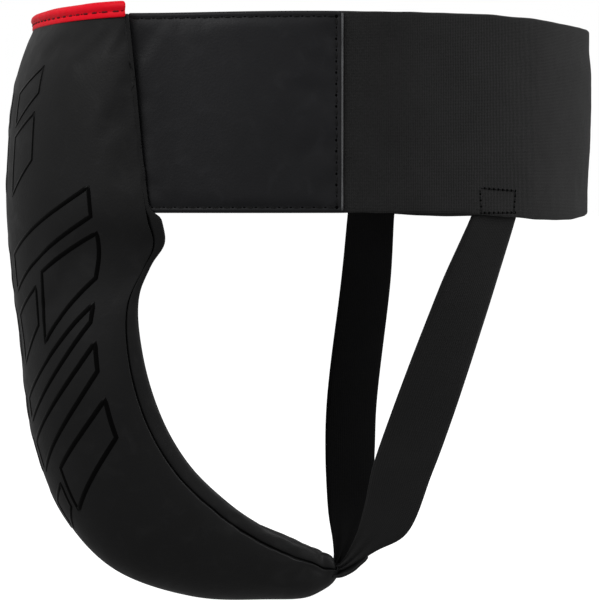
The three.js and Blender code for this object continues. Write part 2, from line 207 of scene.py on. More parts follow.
# The webbing's thickness, width and sewn length, its place (y) and how much it leans forward.
STRAP, STRAP_WIDTH, STRAP_SEWN = 1.8, 30.0, 13.0
STRAP_AT = {"left": 70.5, "right": 74.3}
STRAP_LEAN = {"left": 0.42, "right": 0.12}
# The front and the rear edge of each strap from just below the waistband to the tip.
STRAPS = {
    "left": (
        [(82, 45.5, -90), (41, 33.5, -162), (28, 28.5, -191), (18, 27.6, -213), (9, 24.8, -233), (3, 18.5, -246)],
        [(76, 78.5, -92), (50, 67, -160), (37, 60, -193), (24, 50, -228), (13, 36.5, -238.5), (4.5, 20, -250)],
    ),
    "right": (
        [(-81, 50.5, -90), (-44, 28, -162), (-31, 22.8, -192), (-20, 20.3, -219), (-8, 18.9, -236), (-2, 17, -246)],
        [(-76, 79.5, -92), (-44, 58.5, -162), (-33, 53, -190), (-19, 46, -222), (-9, 32, -239), (-3, 18.5, -249)],
    ),
}


# ---------------- small maths
def smooth(t):
    t = np.clip(t, 0.0, 1.0)
    return t * t * (3 - 2 * t)


def catmull(points, per_segment):
    """A centripetal Catmull-Rom curve through points of any dimension: (curve, knot of each sample)."""
    p = np.array(points, float)
    p = np.vstack([2 * p[0] - p[1], p, 2 * p[-1] - p[-2]])
    out, knots = [], []
    for i in range(1, len(p) - 2):
        p0, p1, p2, p3 = p[i - 1], p[i], p[i + 1], p[i + 2]
        d0, d1, d2 = (max(np.linalg.norm(b - a), 1e-6) ** 0.5 for a, b in ((p0, p1), (p1, p2), (p2, p3)))
        m1 = ((p1 - p0) / d0 - (p2 - p0) / (d0 + d1) + (p2 - p1) / d1) * d1
        m2 = ((p2 - p1) / d1 - (p3 - p1) / (d1 + d2) + (p3 - p2) / d2) * d1
        last = i == len(p) - 3
        t = np.linspace(0, 1, per_segment + 1)[: None if last else -1, None]
        out.append((2 * t**3 - 3 * t**2 + 1) * p1 + (t**3 - 2 * t**2 + t) * m1
                   + (3 * t**2 - 2 * t**3) * p2 + (t**3 - t**2) * m2)
        knots.append(i - 1 + t[:, 0])
    return np.vstack(out), np.concatenate(knots)


def arc(points):
    return np.concatenate([[0], np.cumsum(np.linalg.norm(np.diff(points, axis=0), axis=1))])


def wobble(a, b, scale, seed=0.0):
    """Smooth noise of two coordinates in millimetres, about -1 to 1."""
    return noise.noise(Vector((a / scale + seed * 7.3, b / scale - seed * 3.1, seed)))


# ---------------- materials
def material(name, color, rough, **opts):
    m = bpy.data.materials.new(name)
    m.use_nodes = True
    nt = m.node_tree
    bsdf = nt.nodes["Principled BSDF"]
    bsdf.inputs["Base Color"].default_value = (*color, 1)
    bsdf.inputs["Roughness"].default_value = rough
    for key, value in opts.items():
        bsdf.inputs[key.replace("_", " ")].default_value = value
    return m, nt, bsdf


def node(nt, kind, **values):
    n = nt.nodes.new(kind)
    for key, value in values.items():
        if key in n.inputs:
            n.inputs[key].default_value = value
        else:
            setattr(n, key, value)
    return n


def noise_node(nt, scale, detail, rough=0.5, distortion=0.0):
    return node(nt, "ShaderNodeTexNoise", Scale=scale, Detail=detail, Roughness=rough, Distortion=distortion)


def math_node(nt, operation, a, b=None):
    n = nt.nodes.new("ShaderNodeMath")
    n.operation = operation
    for i, value in enumerate((a, b)):
        if value is None:
            continue
        if hasattr(value, "links"):
            nt.links.new(value, n.inputs[i])
        else:
            n.inputs[i].default_value = value
    return n.outputs[0]


def ramp(nt, fac, stops):
    n = nt.nodes.new("ShaderNodeValToRGB")
    while len(n.color_ramp.elements) < len(stops):
        n.color_ramp.elements.new(0.5)
    for e, (pos, color) in zip(n.color_ramp.elements, stops):
        e.position = pos
        e.color = (*color, 1) if isinstance(color, tuple) else (color, color, color, 1)
    nt.links.new(fac, n.inputs["Fac"])
    return n.outputs["Color"]


def bump(nt, bsdf, layers):
    """Stacks bump nodes: layers of (height socket, distance in metres, strength)."""
    normal = None
    for height, distance, strength in layers:
        b = node(nt, "ShaderNodeBump", Distance=distance, Strength=strength)
        nt.links.new(height, b.inputs["Height"])
        if normal is not None:
            nt.links.new(normal, b.inputs["Normal"])
        normal = b.outputs["Normal"]
    nt.links.new(normal, bsdf.inputs["Normal"])


def leather(name, dark, light, rough, grain=0.0011, lift=0.00010, gloss_level=0.19):
    """Coated synthetic leather: a fine pebbled grain, soft creasing, uneven sheen and a little scuffing."""
    m, nt, bsdf = material(name, dark, rough, Specular_IOR_Level=gloss_level)
    where = node(nt, "ShaderNodeTexCoord").outputs["Object"]
    pebble = node(nt, "ShaderNodeTexVoronoi", Scale=1 / grain, Randomness=0.9, feature="SMOOTH_F1")
    fine = noise_node(nt, 2600.0, 3.0, 0.6)
    crease = noise_node(nt, 95.0, 4.0, 0.55, 0.6)
    broad = noise_node(nt, 16.0, 3.0)
    for t in (pebble, fine, crease, broad):
        nt.links.new(where, t.inputs["Vector"])
    tone = ramp(nt, broad.outputs["Fac"], [(0.34, dark), (0.68, light)])
    scuff = ramp(nt, crease.outputs["Fac"], [(0.55, 0.0), (0.78, 0.22)])
    mix = node(nt, "ShaderNodeMix", data_type="RGBA", blend_type="MIX")
    nt.links.new(scuff, mix.inputs["Factor"])
    nt.links.new(tone, mix.inputs["A"])
    mix.inputs["B"].default_value = (*[min(c * 1.9 + 0.006, 1) for c in light], 1)
    nt.links.new(mix.outputs["Result"], bsdf.inputs["Base Color"])
    gloss = ramp(nt, crease.outputs["Fac"], [(0.3, rough - 0.06), (0.75, rough + 0.08)])
    nt.links.new(gloss, bsdf.inputs["Roughness"])
    bump(nt, bsdf, [(pebble.outputs["Distance"], lift, 0.5), (fine.outputs["Fac"], lift * 0.5, 0.4),
                    (crease.outputs["Fac"], lift * 3.0, 0.35)])
    return m


def weave(name, dark, light, rough, pitch_u, pitch_v, lift, sheen, fuzz=0.4, level=0.15, even=0.6, hair_scale=1.5):
    """Woven yarn on the UV map, whose unit is a millimetre: warp and weft lumps that alternate like a chequer."""
    m, nt, bsdf = material(name, dark, rough, Specular_IOR_Level=level, Sheen_Weight=sheen, Sheen_Roughness=0.45)
    uv = node(nt, "ShaderNodeUVMap", uv_map="cloth").outputs["UV"]
    sep = node(nt, "ShaderNodeSeparateXYZ")
    stray = noise_node(nt, 0.55, 2.0)
    hair = noise_node(nt, hair_scale, 5.0, 0.75)
    broad = noise_node(nt, 0.035, 3.0)
    for t in (sep, stray, hair, broad):
        nt.links.new(uv, t.inputs["Vector"])
    drift = math_node(nt, "MULTIPLY", stray.outputs["Fac"], 0.9)
    u = math_node(nt, "ADD", math_node(nt, "MULTIPLY", sep.outputs["X"], math.pi / pitch_u), drift)
    v = math_node(nt, "ADD", math_node(nt, "MULTIPLY", sep.outputs["Y"], math.pi / pitch_v), drift)
    cross = math_node(nt, "MULTIPLY", math_node(nt, "SINE", u), math_node(nt, "SINE", v))
    lumps = math_node(nt, "POWER", math_node(nt, "ABSOLUTE", cross), 0.6)
    shade = math_node(nt, "ADD", math_node(nt, "MULTIPLY", lumps, even),
                      math_node(nt, "MULTIPLY", hair.outputs["Fac"], fuzz))
    shade = math_node(nt, "ADD", shade, math_node(nt, "MULTIPLY", broad.outputs["Fac"], 0.3))
    nt.links.new(ramp(nt, shade, [(0.35, dark), (1.0, light)]), bsdf.inputs["Base Color"])
    bump(nt, bsdf, [(lumps, lift, 0.8), (hair.outputs["Fac"], lift * 0.8, 0.5)])
    return m


def speckled(name, dark, light, rough, scale, lift, **opts):
    """Plain material with fine noise in its colour, roughness and surface."""
    m, nt, bsdf = material(name, dark, rough, **opts)
    where = node(nt, "ShaderNodeTexCoord").outputs["Object"]
    grain = noise_node(nt, scale, 5.0, 0.6)
    broad = noise_node(nt, scale / 25, 2.0)
    nt.links.new(where, grain.inputs["Vector"])
    nt.links.new(where, broad.inputs["Vector"])
    shade = math_node(nt, "MULTIPLY", math_node(nt, "ADD", grain.outputs["Fac"], broad.outputs["Fac"]), 0.5)
    nt.links.new(ramp(nt, shade, [(0.35, dark), (0.65, light)]), bsdf.inputs["Base Color"])
    nt.links.new(ramp(nt, grain.outputs["Fac"], [(0.3, rough - 0.05), (0.7, rough + 0.05)]), bsdf.inputs["Roughness"])
    bump(nt, bsdf, [(grain.outputs["Fac"], lift, 0.6)])
    return m


BLACK = leather("black_leather_look", (0.0072, 0.0072, 0.0074), (0.0104, 0.0104, 0.0107), 0.50, gloss_level=0.175)
WING = leather("wing_leather_look", (0.0074, 0.0075, 0.0085), (0.0102, 0.0103, 0.0117), 0.46, gloss_level=0.18)
RED = leather("red_leather_look", (0.68, 0.002, 0.011), (0.80, 0.004, 0.018), 0.48, gloss_level=0.09)
ELASTIC_LOOK = weave("elastic_look", (0.0024, 0.0024, 0.0025), (0.0200, 0.0200, 0.0202), 0.85, 0.95, 0.75, 0.00030,
                     0.10, fuzz=0.95, even=0.20, hair_scale=0.8)
# One webbing in two copies: a lighter one for the outer face as painted light, and a much darker one for the face
# towards the wearer as painted shade.
STRAP_LIT = weave("strap_look", (0.0080, 0.0080, 0.0081), (0.0205, 0.0205, 0.0208), 0.85, 0.85, 1.1, 0.00020, 0.05)
STRAP_SHADED = weave("strap_inner_look", (0.0016, 0.0016, 0.0017), (0.0050, 0.0050, 0.0052), 0.9, 0.85, 1.1, 0.00016,
                    0.0, level=0.06)
LINING_LOOK = weave("lining_look", (0.0060, 0.0060, 0.0062), (0.019, 0.019, 0.020), 0.90, 1.6, 1.6, 0.00030, 0.06,
                    fuzz=0.3)
LOOP_LOOK = speckled("loop_look", (0.008, 0.008, 0.0085), (0.035, 0.035, 0.036), 0.95, 2200.0, 0.0007,
                     Sheen_Weight=0.1)
HOOK_LOOK = weave("hook_look", (0.004, 0.004, 0.004), (0.035, 0.035, 0.036), 0.55, 0.9, 0.9, 0.0006, 0.0, fuzz=0.1)
# Black thread, and darker than the leather as painted shade of the stitch dents.
SHADED_THREAD = speckled("thread_painted_shade_look", (0.0035, 0.0035, 0.0035), (0.011, 0.011, 0.0115), 0.60, 4000.0, 0.0001,
                  Specular_IOR_Level=0.12)
# The red thread is the leather's red, darkened far below it as painted shade of the sunken stitches.
RED_SHADED_THREAD = speckled("red_thread_painted_shade_look", (0.07, 0.001, 0.003), (0.13, 0.002, 0.006), 0.6, 4000.0, 0.0001,
                      Specular_IOR_Level=0.2)
# The needle holes: near-black and dark red discs that paint the shade inside each hole.
HOLE_SHADE = speckled("needle_hole_painted_shade_look", (0.0008, 0.0008, 0.0008), (0.0016, 0.0016, 0.0016), 0.95, 3000.0, 0.0001,
                Specular_IOR_Level=0.03)
RED_HOLE_SHADE = speckled("red_needle_hole_painted_shade_look", (0.05, 0.001, 0.002), (0.09, 0.001, 0.003), 0.9, 3000.0, 0.0001,
                    Specular_IOR_Level=0.1)
INK = speckled("gloss_ink_look", (0.0004, 0.0004, 0.0004), (0.0009, 0.0009, 0.0009), 0.30, 1500.0, 0.00005,
               Specular_IOR_Level=0.06)
# A pale grey look for the bead at the wing's end: a painted highlight on the rolled leather edge.
EDGE_HIGHLIGHT = speckled("edge_painted_highlight_look", (0.045, 0.046, 0.048), (0.085, 0.086, 0.090), 0.6, 2500.0, 0.0001)
PLASTIC_LOOK = speckled("cup_plastic_look", (0.012, 0.012, 0.013), (0.020, 0.020, 0.022), 0.42, 900.0, 0.00015)


# ---------------- making pieces
def add_object(name, data):
    obj = bpy.data.objects.new(name, data)
    bpy.context.scene.collection.objects.link(obj)
    return obj


def mesh_of(name, points, faces):
    """A mesh from points in millimetres."""
    mesh = bpy.data.meshes.new(name)
    mesh.from_pydata([tuple(p) for p in np.asarray(points) * MM], [], [tuple(int(i) for i in f) for f in faces])
    return mesh


def piece(name, points, faces, looks, body, slot, replaces=(), uv=None, face_looks=None, levels=0):
    """A visible piece, which rides on a body, has a slot and stands for CAD solids."""
    mesh = mesh_of(name, points, faces)
    looks = looks if isinstance(looks, (list, tuple)) else [looks]
    for look in looks:
        mesh.materials.append(look)
    if face_looks is not None:
        mesh.polygons.foreach_set("material_index", list(face_looks))
    mesh.polygons.foreach_set("use_smooth", [True] * len(mesh.polygons))
    if uv is not None:
        layer = mesh.uv_layers.new(name="cloth")
        loops = np.zeros(len(mesh.loops), np.int32)
        mesh.loops.foreach_get("vertex_index", loops)
        layer.data.foreach_set("uv", np.asarray(uv, np.float32)[loops].ravel())
    mesh.update()
    obj = add_object(name, mesh)
    if levels:
        s = obj.modifiers.new("fine", "SUBSURF")
        s.levels = s.render_levels = levels
    if body:
        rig.ride(obj, body)
    if replaces:
        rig.replaces(obj, *replaces)
    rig.slot(obj, slot)
    return obj


def bake(obj):
    """Applies every modifier, so that the mesh is final."""
    done = bpy.data.meshes.new_from_object(obj.evaluated_get(bpy.context.evaluated_depsgraph_get()))
    obj.modifiers.clear()
    obj.data = done


def sheet_faces(rows, cols):
    i, j = np.meshgrid(np.arange(rows - 1), np.arange(cols - 1), indexing="ij")
    a = (i * cols + j).ravel()
    return [tuple(f) for f in np.stack([a, a + 1, a + cols + 1, a + cols], axis=1)]


def tube_faces(rows, cols):
    """The faces of a tube of closed rings, with a cap at each end."""
    faces = []
    for i in range(rows - 1):
        for j in range(cols):
            a, b = i * cols + j, i * cols + (j + 1) % cols
            faces.append((a, b, b + cols, a + cols))
    faces.append(tuple(range(cols - 1, -1, -1)))
    faces.append(tuple(range((rows - 1) * cols, rows * cols)))
    return faces


def outward(points, faces):
    """The faces, all turned round if they enclose a negative volume."""
    p = np.asarray(points)
    volume = sum(np.dot(p[f[0]], np.cross(p[f[k]], p[f[k + 1]])) for f in faces for k in range(1, len(f) - 1))
    return faces if volume > 0 else [tuple(reversed(f)) for f in faces]


def tube(rings):
    """The points and the outward faces of a tube of closed rings."""
    points = np.array(rings).reshape(-1, 3)
    return points, outward(points, tube_faces(len(rings), len(rings[0])))


CLOTH_FRAMES = 20


def puff(points, faces, pinned, pressure, grow, cap):
    """Inflates a closed skin as cloth, held at the pinned points, and moves no point further than cap."""
    points = np.asarray(points, float)
    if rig.quick():
        return points
    obj = add_object("puff", mesh_of("puff", points, faces))
    scene = bpy.context.scene
    pins = obj.vertex_groups.new(name="pins")
    pins.add([int(i) for i in pinned], 1.0, "REPLACE")
    cloth = obj.modifiers.new("cloth", "CLOTH")
    s = cloth.settings
    s.quality = 5
    s.mass = 0.3
    s.tension_stiffness = s.compression_stiffness = 25
    s.shear_stiffness = 10
    s.bending_stiffness = 2.0
    s.vertex_group_mass = "pins"
    s.shrink_min = -grow
    s.use_pressure = True
    s.uniform_pressure_force = pressure
    s.effector_weights.gravity = 0
    cloth.collision_settings.use_collision = False
    cloth.point_cache.frame_start, cloth.point_cache.frame_end = 1, CLOTH_FRAMES
    for f in range(1, CLOTH_FRAMES + 1):
        scene.frame_set(f)
    done = obj.evaluated_get(bpy.context.evaluated_depsgraph_get()).to_mesh()
    moved = np.zeros(len(points) * 3)
    done.vertices.foreach_get("co", moved)
    moved = moved.reshape(-1, 3) / MM
    scene.frame_set(1)
    bpy.data.objects.remove(obj)
    step = moved - points
    length = np.linalg.norm(step, axis=1, keepdims=True)
    return points + step * np.minimum(1, cap / np.maximum(length, 1e-6))


# A stitch is a tube of 7 rings with 6 sides, and a needle hole a dark disc of painted shade, of 3 rings with 8 sides.
RINGS, SIDES, HOLE_SIDES = 7, 6, 8
STITCH_FACES, HOLE_FACES = tube_faces(RINGS, SIDES), tube_faces(3, HOLE_SIDES)


def stitches(name, line, normals, pitch, length, looks, body, slot, radius=0.34):
    """A row of thread stitches with a dark disc of painted shade for the needle hole between each two, along a line of
    points.
    """
    s = arc(line)
    count = max(int(s[-1] / pitch), 1)
    centres = (np.arange(count) + 0.5) * s[-1] / count
    at = lambda x, a: np.array([np.interp(x, s, a[:, k]) for k in range(3)])
    points, faces, which = [], [], []
    for c in centres:
        faces += [tuple(len(points) + v for v in f) for f in STITCH_FACES]
        which += [0] * len(STITCH_FACES)
        n = at(c, normals)
        n /= np.linalg.norm(n)
        t = at(min(c + 0.6, s[-1]), line) - at(max(c - 0.6, 0), line)
        t /= np.linalg.norm(t)
        b = np.cross(n, t)
        for q in np.linspace(-1, 1, RINGS):
            lift = radius * (0.75 * (1 - q**4) - 0.35)
            r = radius * math.sqrt(max(1 - q**6, 0.03))
            p = at(c + q * length / 2, line) + n * lift
            for k in range(SIDES):
                a = k * math.pi / 3
                points.append(p + (b * math.cos(a) + n * math.sin(a)) * r)
        # the needle hole: a disc lifted just above the surface, whose dark look paints the shade of the hole
        faces += [tuple(len(points) + v for v in f) for f in HOLE_FACES]
        which += [1] * len(HOLE_FACES)
        h = at(min(c + s[-1] / count / 2, s[-1]), line)
        for r, up in ((radius * 2.1, -0.05), (radius * 1.5, 0.10), (radius * 0.4, 0.13)):
            for k in range(HOLE_SIDES):
                a = k * math.pi / 4
                points.append(h + (b * math.cos(a) + t * math.sin(a)) * r + n * up)
    return piece(name, points, faces, looks, body, slot, face_looks=which)


# ---------------- the front
def front_spline():
    """Crown, seam and half width along the front as a smooth curve, with the gusset depth and padding."""
    table = np.array(STATIONS, float)
    # the fifth station only steps the gusset's depth, just after the fourth: the curve leaves it out
    keep = [i for i in range(len(table)) if i != 4]
    curve, knots = catmull(table[keep, :5], 24)
    station = np.interp(knots, [0, 1, 2, 3, 3.08] + list(range(4, len(keep))), range(len(table)))
    rim = np.interp(station, range(len(table)), table[:, 5])
    pad = np.interp(station, range(len(table)), table[:, 6])
    crown = arc(curve[:, :2])
    return crown, np.column_stack([curve, rim, pad])


CROWN, FRONT = front_spline()
# Sections along the front, and the rings that round off its tip.
ROWS, TIP_RINGS = 104, 8


def front_row(v):
    """The section at a distance v along the crown from the top edge."""
    cy, cz, ey, ez, half, rim, pad = (np.interp(v, CROWN, FRONT[:, k]) for k in range(7))
    edge, out = np.array([ey, ez]), np.array([cy - ey, cz - ez])
    height = np.linalg.norm(out)
    return {"edge": edge, "out": out / height, "height": height, "half": half, "rim": rim, "pad": pad, "v": v}


def oval(s, angle, depth):
    flat = math.cos(SECTION_ANGLE)
    return np.column_stack([
        (s["half"] - depth) * np.sin(angle) / math.sin(SECTION_ANGLE),
        (s["height"] - depth) * (np.cos(angle) - flat) / (1 - flat),
    ])


def lift(s, xb):
    """Section points (x, b) to the row frame."""
    xb = np.asarray(xb)
    yz = s["edge"] + xb[:, 1:] * s["out"]
    return np.column_stack([xb[:, 0], yz])


COVER_COLS, LINING_COLS, FLANGE = 57, 41, 5
# The edge seam's profile as (inwards from the side, share of the gusset's depth): a soft lip, the sewn
# crease, and the gusset's own lip.
LIP = [(0.02, 0.03), (0.25, 0.06), (1.1, 0.09), (2.3, 0.105)]
GUSSET = [(1.5, 0.135), (0.50, 0.19), (0.05, 0.36), (0.05, 0.74), (0.55, 0.93), (1.7, 1.0)]


def ring(s):
    """One closed ring of the padded front: cover, gusset and flange, lining, flange and gusset."""
    a = np.linspace(-SECTION_ANGLE, SECTION_ANGLE, COVER_COLS)
    i = np.linspace(SECTION_ANGLE, -SECTION_ANGLE, LINING_COLS)
    half, rim = s["half"], max(s["rim"], 2.2)
    pad = s["pad"] + (s["height"] - 1.8 - s["pad"]) * float(smooth((s["v"] - CROWN[-1] + 26) / 24))
    deep = float(smooth((rim - 2.0) / 5))
    seam = [(half - x * (0.15 + 0.85 * deep) - 0.25 * (1 - deep), -rim * share) for x, share in LIP + GUSSET]
    flange = [(half - pad * 0.35, -rim - 0.3), (half - pad * 0.65, -rim - 0.1), (half - pad + 1.4, -rim + 0.5),
              (half - pad + 0.3, -rim + 1.6), (half - pad, -rim * 0.45)]
    side = seam + flange
    mirrored = [(-x, b) for x, b in reversed(side)]
    return np.vstack([oval(s, a, 0), side, oval(s, i, pad), mirrored])


def make_front():
    rows = [front_row(v) for v in np.linspace(0, CROWN[-1], ROWS)]
    rings = [lift(s, ring(s)) for s in rows]
    last = rows[-1]
    along = lift(last, [(0, last["height"])])[0] - lift(rows[-3], [(0, rows[-3]["height"])])[0]
    along /= np.linalg.norm(along)
    flat = ring(last)
    # the tip is rounded off towards a point, further along the crown than on the wearer's side
    centre = np.array([0, (last["height"] - last["rim"]) / 2 + 0.8])
    crown_side = smooth((flat[:, 1:] + 2) / 8)
    reach = crown_side * 11.6 * along + (1 - crown_side) * 8.6 * np.array([0, 0.99, -0.12])
    for k in range(1, TIP_RINGS):
        a = k * math.radians(12.4)
        shrink = math.cos(a) ** (0.20 + 0.35 * crown_side)
        rings.append(lift(last, centre + (flat - centre) * shrink) + reach * math.sin(a))
    rings.append(lift(last, centre + (flat - centre) * 0.03) + reach)
    cols = len(rings[0])
    points = np.vstack(rings)
    roll, strip = len(LIP), len(GUSSET)
    side = roll + strip + FLANGE
    right, left = COVER_COLS, COVER_COLS + side + LINING_COLS
    crease = {right + roll - 1, left + side - roll}
    hem = {right + roll + strip - 1, left + side - roll - strip}
    faces = outward(points, tube_faces(len(rings), cols))
    pinned = [r * cols + c for r in range(len(rings)) for c in crease | hem]
    pinned += list(range(2 * cols)) + list(range((len(rings) - TIP_RINGS) * cols, len(rings) * cols))
    points = puff(points, faces, sorted(set(pinned)), 3.0, 0.004, 1.1)
    grid = points.reshape(len(rings), cols, 3)
    r, c = 40, COVER_COLS // 2
    winding = np.cross(grid[r, c + 1] - grid[r, c], grid[r + 1, c] - grid[r, c])
    inside_out = np.dot(winding, grid[r, c] - grid[r].mean(axis=0)) < 0

    def part(name, columns, look, slot, replaces):
        sub = grid[:, columns]
        u = np.array([arc(r) for r in sub])
        u -= u[:, -1:] / 2
        v = np.concatenate([[0], np.cumsum(np.linalg.norm(np.diff(sub, axis=0), axis=2).mean(axis=1))])
        uv = np.stack([u, np.repeat(v[:, None], len(columns), axis=1)], axis=2).reshape(-1, 2)
        made = sheet_faces(len(rings), len(columns))
        if inside_out:
            made = [tuple(reversed(f)) for f in made]
        obj = piece(name, sub.reshape(-1, 3), made, look, None, slot, uv=uv, levels=1)
        skin = obj.modifiers.new("skin", "SOLIDIFY")
        skin.thickness, skin.offset = SKIN * MM, -1
        bake(obj)
        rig.ride(obj, "front")
        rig.replaces(obj, *replaces)
        return sub, obj

    left_roll = list(range(left + side - roll, left + side))
    cover_columns = left_roll + list(range(COVER_COLS)) + list(range(right, right + roll))
    cover, obj = part("padded_front", cover_columns, BLACK, "black_leather",
                      ["front_cover", "abdomen_foam", "cup_outer_foam", "tip_foam"])
    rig.padded(obj, fill=0.9)
    gusset = list(range(right + roll - 1, right + roll + strip))
    part("side_gusset_left", gusset, BLACK, "black_leather", ["gusset_left"])
    gusset = list(range(left + side - roll - strip, left + side - roll + 1))
    part("side_gusset_right", gusset, BLACK, "black_leather", ["gusset_right"])
    inner = list(range(right + roll + strip - 1, left + side - roll - strip + 1))
    part("lining", inner, LINING_LOOK, "lining_fabric", ["body_lining", "cup_inner_foam"])
    return cover


COVER_GRID = make_front()


# ---------------- the printed lines
def on_cover(u, v):
    """The point and outward normal of the cover at u across, from -1 to 1, and v mm along the crown."""
    r = np.clip(v / CROWN[-1] * (ROWS - 1), 0, ROWS - 1.001)
    c = np.clip((u + 1) / 2 * (COVER_COLS - 1), 0, COVER_COLS - 1.001)
    i, j = int(r), int(c)
    fr, fc = r - i, c - j
    g = COVER_GRID[:, len(LIP):len(LIP) + COVER_COLS]
    p = (g[i, j] * (1 - fr) + g[i + 1, j] * fr) * (1 - fc) + (g[i, j + 1] * (1 - fr) + g[i + 1, j + 1] * fr) * fc
    du = g[i, min(j + 1, COVER_COLS - 1)] - g[i, j]
    dv = g[i + 1, j] - g[i, j]
    n = np.cross(dv, du)
    n /= np.linalg.norm(n)
    middle = g[i].mean(axis=0)
    return p, n if np.dot(n, p - middle) > 0 else -n


def outline(corners, width, points, faces):
    """A closed line of ink round corners given as (across, fraction of the crown length)."""
    path = []
    for (u0, v0), (u1, v1) in zip(corners, corners[1:] + corners[:1]):
        count = max(int(math.hypot((u1 - u0) * HALF_COVER, (v1 - v0) * CROWN[-1]) / 2.2), 1)
        path += [(u0 + (u1 - u0) * k / count, v0 + (v1 - v0) * k / count) for k in range(count)]
    placed = [on_cover(u, v * CROWN[-1]) for u, v in path]
    n = len(placed)
    start = len(points)
    for k in range(n):
        p, normal = placed[k]
        t = placed[(k + 1) % n][0] - placed[k - 1][0]
        b = np.cross(normal, t)
        b /= max(np.linalg.norm(b), 1e-9)
        for side, up in ((-1, -0.10), (-0.8, 0.20), (0, 0.26), (0.8, 0.20), (1, -0.10)):
            points.append(p + b * side * width / 2 + normal * up)
    for k in range(n):
        for j in range(4):
            a, b = start + k * 5 + j, start + ((k + 1) % n) * 5 + j
            faces.append((a, a + 1, b + 1, b))


def make_print():
    """Generic slanted bars, mirrored about the middle of the front."""
    points, faces = [], []
    # inner and outer end across, top and thickness along the crown, and the line's width in millimetres
    bars = [
        (0.08, 0.32, 0.062, 0.040, 1.9), (0.08, 0.30, 0.118, 0.070, 2.0), (0.06, 0.70, 0.205, 0.045, 2.4),
        (0.36, 0.72, 0.265, 0.090, 2.5), (0.05, 0.30, 0.330, 0.060, 2.4), (0.05, 0.74, 0.375, 0.030, 2.6),
        (0.05, 0.78, 0.425, 0.040, 2.7), (0.30, 0.80, 0.490, 0.060, 2.7), (0.05, 0.24, 0.575, 0.040, 2.4),
    ]
    for side in (1, -1):
        for inner, outer, top, thick, width in bars:
            slope = 0.13 * (outer - inner)
            corners = [(side * inner, top + slope), (side * outer, top), (side * outer, top + thick * 0.8),
                       (side * inner, top + slope + thick)]
            outline(corners, width, points, faces)
    piece("printed_bars", points, faces, INK, "front", "black_leather")


make_print()


# ---------------- the trim
TRIM_BASE, TRIM_MIDDLE, TRIM_STITCHES, TRIM_PITCH = 47.0, 2.9, 48.3, 6.2


def trim_dip(x):
    """How far the trim sinks towards the middle of the front."""
    return 1.2 * math.cos(x * math.pi / 2)


def trim_point(s, x, depth):
    """The plan point of the top edge at x across, from -1 to 1, and a depth inwards from the cover."""
    p = oval(s, np.array([x * SECTION_ANGLE]), depth)[0]
    return p[0], s["edge"][0] + p[1] * s["out"][0]


def make_trim():
    """The leather roll over the top edge, puckered at its stitches."""
    s = front_row(0)
    # the roll's section as (depth inwards, height), from the front flange over the edge to the back flange
    profile = [(-0.5, -1.7), (-1.1, -1.65), (-1.35, -1.0), (-1.25, 0.7), (-0.75, 1.25), (-1.15, 1.8), (-1.8, 2.9),
               (-2.0, 4.1), (-1.5, 5.4), (-0.3, 6.3), (1.6, 6.7), (5.0, 6.8), (8.4, 6.7), (10.3, 6.3), (11.5, 5.4),
               (12.0, 4.1), (11.8, 2.9), (11.15, 1.8), (10.75, 1.25), (11.25, 0.7), (11.35, -1.0), (11.1, -1.65),
               (10.5, -1.7), (10.0, 0.1), (0.0, 0.1)]
    rings, uv = [], []
    reach = np.concatenate([[-1.011, -1.007], np.linspace(-0.993, 0.993, 77), [1.007, 1.011]])
    for index, x in enumerate(reach):
        end = min(index, len(reach) - 1 - index)
        shrink = {0: 0.72, 1: 0.93}.get(end, 1.0)
        ring_points = []
        for k, (depth, rise) in enumerate(profile):
            pucker = 0.30 * wobble(x * HALF_COVER, k * 2.0, 6.0, 3)
            pucker += 0.20 * math.sin(x * HALF_COVER * 2 * math.pi / TRIM_PITCH)
            soft = pucker if 5 < k < 18 else pucker * 0.6
            d = 5 + (depth - 5) * shrink - (soft if depth < 5 else -soft)
            z = TRIM_BASE + TRIM_MIDDLE - trim_dip(x) + (rise - TRIM_MIDDLE) * shrink
            z += 0.25 * wobble(x * HALF_COVER, 0, 24, 5) if k > 6 else 0
            ring_points.append((*trim_point(s, x, d), z))
            uv.append((x * HALF_COVER, k * 1.2))
        rings.append(ring_points)
    obj = piece("top_trim_roll", *tube(rings), RED, None, "red_leather", uv=uv, levels=1)
    bake(obj)
    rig.ride(obj, "front")
    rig.replaces(obj, "top_trim")
    for name, depth in (("trim_stitches_front", -0.80), ("trim_stitches_back", 10.80)):
        xs = np.linspace(-0.97, 0.97, 90)
        away = depth - (1 if depth < 0 else -1)
        line = np.array([[*trim_point(s, x, depth), TRIM_STITCHES - trim_dip(x)] for x in xs])
        step = np.array([[*trim_point(s, x, away), TRIM_STITCHES - trim_dip(x)] for x in xs])
        stitches(name, line, step - line, TRIM_PITCH, 4.1, [RED_SHADED_THREAD, RED_HOLE_SHADE], "front", "red_leather", 0.50)


make_trim()


# ---------------- the waistband's path
WHOLE_PLAN = BAND_PLAN + [(-x, y) for x, y in BAND_PLAN[-2::-1]]
PATH, _ = catmull([(x, y, 0) for x, y in WHOLE_PLAN], 60)
PATH_S = arc(PATH)
PATH_LENGTH = PATH_S[-1]


def plan_at(test):
    """The distance along the path of its first point that passes the test."""
    return PATH_S[next(i for i, p in enumerate(PATH) if test(p))]


def back_at(x):
    return plan_at(lambda p: p[1] > 0 and p[0] <= x)


SEAM_AT = plan_at(lambda p: p[1] >= SEAM_Y)
LAP_START, OUTER_END, TAB_END, LOOP_END = back_at(LAP_HALF), back_at(TAB_FROM), back_at(TAB_TO), back_at(LOOP_TO)
STRAP_PULL_AT = plan_at(lambda p: p[1] >= 118)


